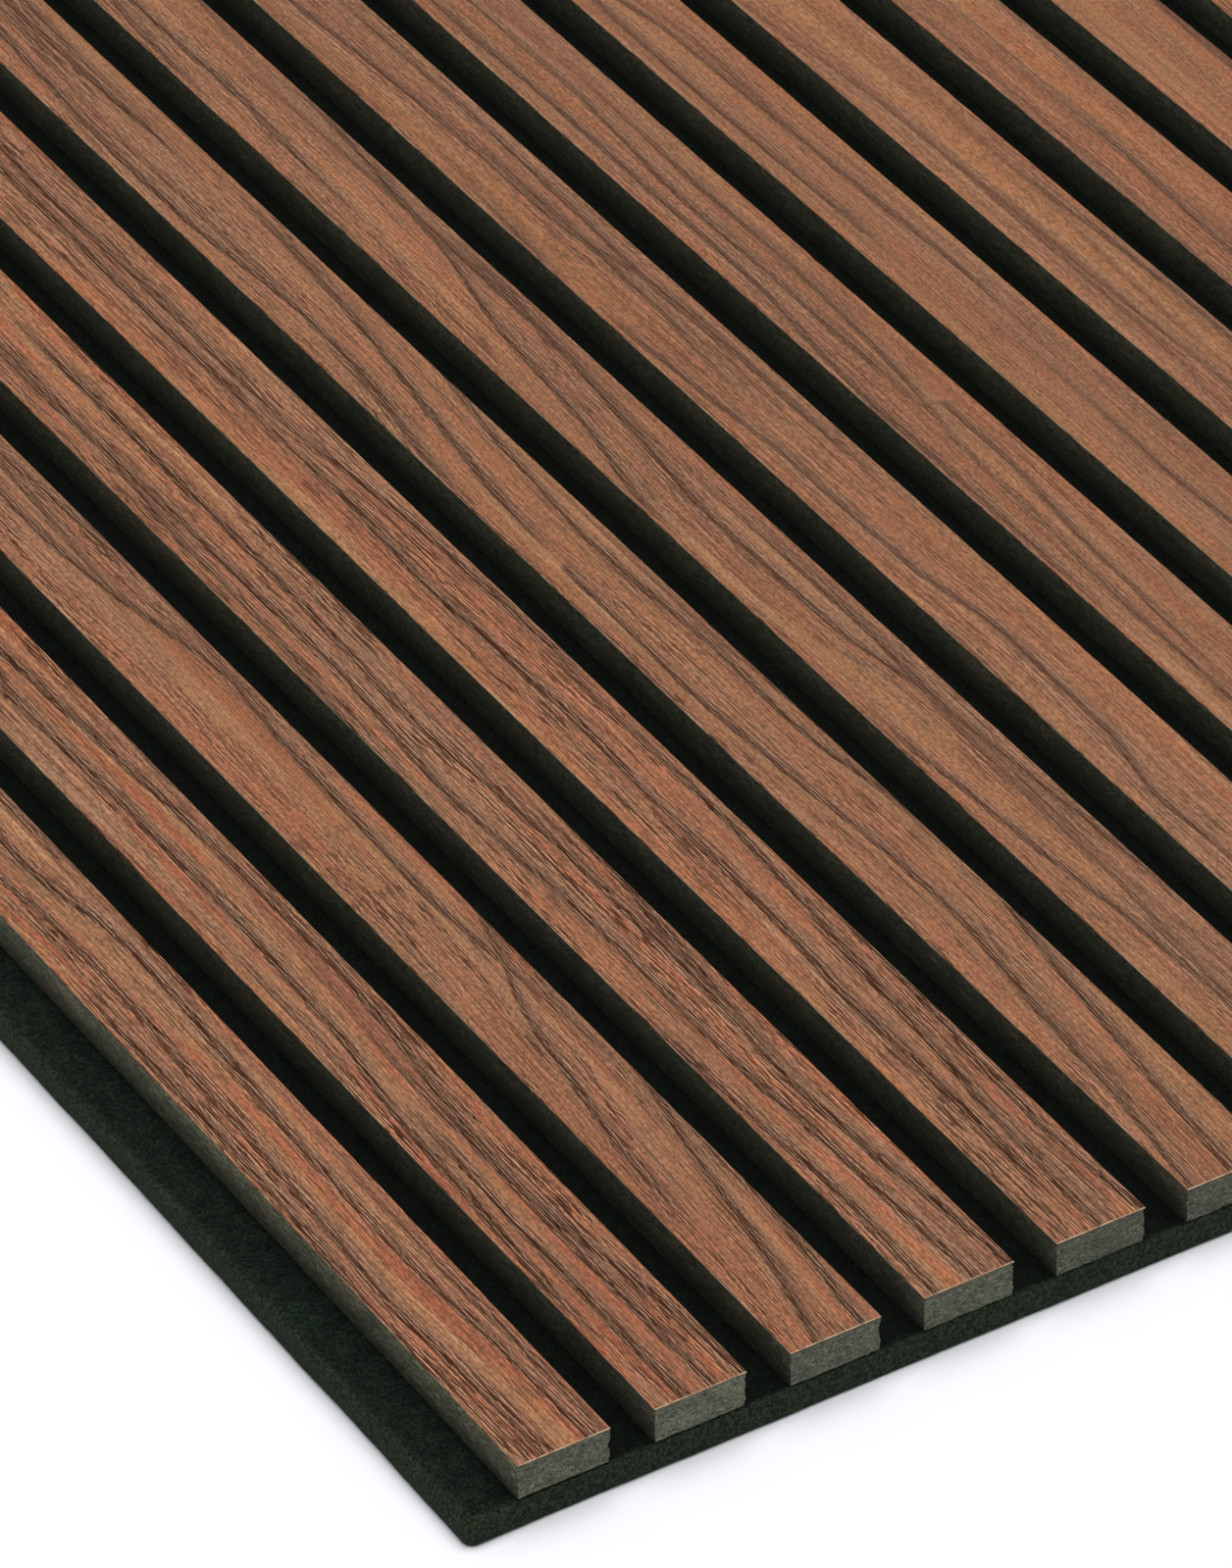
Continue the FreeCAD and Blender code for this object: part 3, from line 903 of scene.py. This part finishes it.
def makeFelt():
    material, tree = newMaterial("pressed polyester felt, near black")
    place = placeInMm(tree)
    sideways = addNode(tree, "SeparateXYZ", [place], "X")
    up = addNode(tree, "SeparateXYZ", [place], "Z")

    def feltNoise(size, detail, distortion, seed):
        # Noise in spots about half this large, in mm
        factor = (1 / size, 1 / size, 1 / size)
        scaled = addNode(tree, "VectorMath", [place, factor], **times)
        offset = (seed * 5.3, seed * 2.9, seed * 9.1)
        moved = addNode(tree, "VectorMath", [scaled, offset], operation="ADD")
        return addNode(tree, "TexNoise", {
            "Vector": moved, "Scale": 1.0, "Detail": detail, "Roughness": 0.6,
            "Distortion": distortion,
        })

    # Curled fibres: thin lines where a bent noise crosses its middle value. Real ones are
    # 0.02 mm thick, and these stand for tufts of them.
    threads = 0.0
    for size, bend, thin, seed in felt["curls"]:
        curl = addNode(tree, "Math", [feltNoise(size, 2.0, bend, seed), 0.5], operation="SUBTRACT")
        curl = addNode(tree, "Math", [curl], operation="ABSOLUTE")
        curl = addNode(tree, "MapRange", [curl, thin, 0.0], **smooth)
        threads = addNode(tree, "Math", [threads, curl], operation="MAXIMUM")
    tufts = feltNoise(*felt["tufts"])
    cloudy = addNode(tree, "MapRange", [feltNoise(*felt["clouds"]), 0.35, 0.65], **smooth)
    shown = addNode(tree, "MapRange", [tufts, 0.35, 0.65, 0.15, 0.75], **smooth)
    threads = addNode(tree, "Math", [threads, shown], **times)
    # The cut edge is painted paler: its cut fibre ends, with painted sheen on them
    edge = addNode(tree, "Attribute", output="Fac", attribute_name="feltEdge")
    edgeTufts = addNode(tree, "MapRange", [tufts, 0.3, 0.7, 0.35, 0.95], **smooth)
    edgeTufts = addNode(tree, "Math", [edge, edgeTufts], **times)
    foot = addNode(tree, "MapRange", [up, 0.9, 0.3, 0.0, 0.6], **smooth)
    foot = addNode(tree, "Math", [foot, edge], **times)
    colour = layTones(tree, linearColour(felt["fibreDark"]), felt, [
        (cloudy, "fibreMid"), (threads, "fibrePale"), (edgeTufts, "cutEdge"), (foot, "heatLine"),
    ])

    # Painted shade: the felt between the slats is darker than the open margins
    leftEdge, rightEdge, dark = coreLow.x / mm, lastCoreHigh.x / mm, felt["shadeBetweenSlats"]
    limits = leftEdge - 2, leftEdge + 2, 1.0, dark
    gapShade = addNode(tree, "MapRange", [sideways, *limits], **smooth)
    limits = rightEdge, rightEdge + 1, dark, 1.0
    right = addNode(tree, "MapRange", [sideways, *limits], **smooth)
    for share in (right, edge):
        gapShade = addNode(tree, "Math", [gapShade, share], operation="MAXIMUM")
    speckle = feltNoise(*felt["speckle"])
    speckle = addNode(tree, "MapRange", [speckle, 0.40, 0.62, 0.52, 1.65], **smooth)
    shade = addNode(tree, "Math", [speckle, gapShade], **times)
    colour = addNode(tree, "VectorMath", {0: colour, 3: shade}, operation="SCALE")
    height = addNode(tree, "Math", [threads, tufts], operation="ADD")
    depth = felt["relief"] * mm
    bump = addNode(tree, "Bump", {"Height": height, "Strength": 0.8, "Distance": depth})
    shader = addNode(tree, "BsdfPrincipled", {
        "Base Color": colour, "Roughness": felt["roughness"], "IOR": 1.45,
        "Specular IOR Level": felt["specular"], "Sheen Weight": felt["sheen"],
        "Sheen Roughness": 0.5, "Sheen Tint": linearColour(felt["sheenTint"]), "Normal": bump,
    })
    addNode(tree, "OutputMaterial", [shader])
    return material


def feltOutline():
    # Points round the sheet and the directions out of it, with rounded corners
    radius = felt["cornerRadius"] * mm
    step = felt["step"] * mm
    outline = []
    left, right = feltLow.x + radius, feltHigh.x - radius
    near, far = feltLow.y + radius, feltHigh.y - radius
    corners = [(left, near, 180), (right, near, 270), (right, far, 0), (left, far, 90)]
    for number, (cx, cy, angle) in enumerate(corners):
        for k in range(9):
            turn = math.radians(angle + 90 * k / 8)
            outX, outY = math.cos(turn), math.sin(turn)
            outline.append((cx + radius * outX, cy + radius * outY, outX, outY))
        nx, ny, _ = corners[(number + 1) % 4]
        out = math.radians(angle + 90)
        start = Vector(outline[-1][:2])
        end = Vector((nx + radius * math.cos(out), ny + radius * math.sin(out)))
        count = max(2, round((end - start).length / step))
        for k in range(1, count):
            spot = start.lerp(end, k / count)
            outline.append((spot.x, spot.y, math.cos(out), math.sin(out)))
    return outline


def stapleSpots():
    # Middles of the staples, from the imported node: its vertices, sorted by slat and by row
    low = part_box("staples")[0]
    found = {}
    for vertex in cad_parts["staples"].data.vertices:
        column = round((vertex.co.x - low.x) / slatPitch)
        row = round((vertex.co.y - low.y) / (felt["rowsApart"] * mm))
        found.setdefault((column, row), []).append(vertex.co.to_2d())
    return [sum(spots, Vector((0, 0))) / len(spots) for spots in found.values()]


def makeFeltSheet(material):
    outline = feltOutline()
    corner = Vector((feltLow.x, feltLow.y))
    top = feltHigh.z
    points, faces, edgeValues, rings = [], [], [], []
    for inset, height, edgeShare in felt["section"]:
        ring = []
        for x, y, outX, outY in outline:
            # The upper half of the edge gives way at the near left corner. Elsewhere the knife
            # wandered, and its shorter waves change with the height.
            away = (Vector((x, y)) - corner).length
            sag = felt["cornerSag"] * math.exp(-away / (felt["sagReach"] * mm))
            lift = max(0.0, (height - 4.5) / 4.5)
            uneven = 0.0
            heights = (0.5, height / 3, height / 2)
            for (depth, length, seed), level in zip(felt["knifeWaves"], heights):
                uneven += depth * wobble(x / (length * mm), y / (length * mm), level, seed)
            onSide = 1.0 if 0.2 < height < 8.8 else 0.35
            settled = 1 - 0.9 * math.exp(-away / (felt["calmReach"] * mm))
            push = inset + sag * lift * math.exp(-inset / 2.5)
            push += onSide * (felt["cutBack"] + uneven) * settled
            drop = sag * 0.9 * lift * math.exp(-inset / 3.0) * (1 if height > 7 else 0)
            z = height * mm - drop * mm
            if 0 < edgeShare and height > 7:
                z += 0.08 * mm * wobble(x / (4 * mm), y / (4 * mm), 5.0) * edgeShare
            ring.append(len(points))
            points.append((x - outX * push * mm, y - outY * push * mm, min(max(z, 0.0), top)))
            edgeValues.append(edgeShare)
        rings.append(ring)
    count = len(outline)
    for lower, upper in zip(rings, rings[1:]):
        for k in range(count):
            following = (k + 1) % count
            faces.append((lower[k], lower[following], upper[following], upper[k]))

    def fill(ring, z, extra, flip):
        # Triangles over the flat area inside a ring, with extra points: those of the dents, and
        # loose ones that keep triangles from growing long
        loop = [Vector(points[v][:2]) for v in ring]
        spots = loop + [Vector(p[:2]) for p in extra]
        edges = [(k, (k + 1) % len(loop)) for k in range(len(loop))]
        made, _, triangles, origin, _, _ = geometry.delaunay_2d_cdt(spots, edges, [], 1, 1e-7)
        names = []
        for k, spot in enumerate(made):
            source = origin[k][0] if origin[k] else -1
            if 0 <= source < len(loop):
                names.append(ring[source])
            else:
                height = extra[source - len(loop)][2] if source >= 0 else z
                names.append(len(points))
                points.append((spot.x, spot.y, height))
                edgeValues.append(0.0)
        for triangle in triangles:
            a, b, c = (names[v] for v in triangle)
            faces.append((a, c, b) if flip else (a, b, c))

    margin = felt["pointsFromEdge"] * mm
    countX, countY = felt["pointCounts"]
    xs = np.linspace(feltLow.x + margin, feltHigh.x - margin, countX)
    ys = np.linspace(feltLow.y + margin, feltHigh.y - margin, countY)
    sparse = [(x, y, top) for x in xs for y in ys]
    fill(rings[-1], top, sparse, False)

    # The staples pull long dimples into the back
    dents, spots = [], stapleSpots()
    (halfX, halfY), (spreadX, spreadY) = felt["dimpleHalf"], felt["dimpleSpread"]
    for spot in spots:
        for reach, depth in felt["dimpleRings"]:
            # The first ring is one point at the middle of the crown
            for k in range(felt["dimplePoints"] if reach else 1):
                turn = 2 * math.pi * k / felt["dimplePoints"]
                x = spot.x + (halfX + spreadX * reach) * mm * math.cos(turn) * (reach > 0)
                y = spot.y + (halfY + spreadY * reach) * mm * math.sin(turn) * (reach > 0)
                dents.append((x, y, depth * felt["dimpleDepth"] * mm))
    clearance = (felt["pointsFromStaple"] * mm) ** 2
    plain = [
        (x, y, 0.0) for x in xs for y in ys
        if min((Vector((x, y)) - s).length_squared for s in spots) > clearance
    ]
    fill(rings[0], 0.0, dents + plain, True)
    attributes = {"feltEdge": edgeValues}
    addPiece("felt_sheet", points, faces, material, "felt_backing", attributes)


makeFeltSheet(makeFelt())
print("felt sheet made")


# Staples: flat steel wire, drawn, galvanised and bent. The eye gets a dull grey metal.

stapleWire = {
    "zincDark": "#8f908c",
    "zincPale": "#b9bab5",
    "smoothest": 0.32,
    "roughest": 0.5,
    # Drawing marks to a metre, across the wire and along the crown
    "marks": (9000, 400, 9000),
}


def makeStapleWire():
    material, tree = newMaterial("galvanised staple wire")
    position = addNode(tree, "TexCoord", output="Object")
    # Drawing marks run along the crown, about 0.1 mm apart
    marks = addNode(tree, "VectorMath", [position, stapleWire["marks"]], **times)
    drawn = addNode(tree, "TexNoise", {"Vector": marks, "Scale": 1.0, "Detail": 3.0})
    colour = linearColour(stapleWire["zincDark"])
    colour = layTones(tree, colour, stapleWire, [(drawn, "zincPale")])
    limits = 0, 1, stapleWire["smoothest"], stapleWire["roughest"]
    rough = addNode(tree, "MapRange", [drawn, *limits])
    shader = addNode(tree, "BsdfPrincipled", {
        "Base Color": colour, "Metallic": 1.0, "Roughness": rough,
    })
    addNode(tree, "OutputMaterial", [shader])
    return material


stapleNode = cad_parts["staples"]
stapleNode.data.materials.clear()
stapleNode.data.materials.append(makeStapleWire())
print("staples finished")
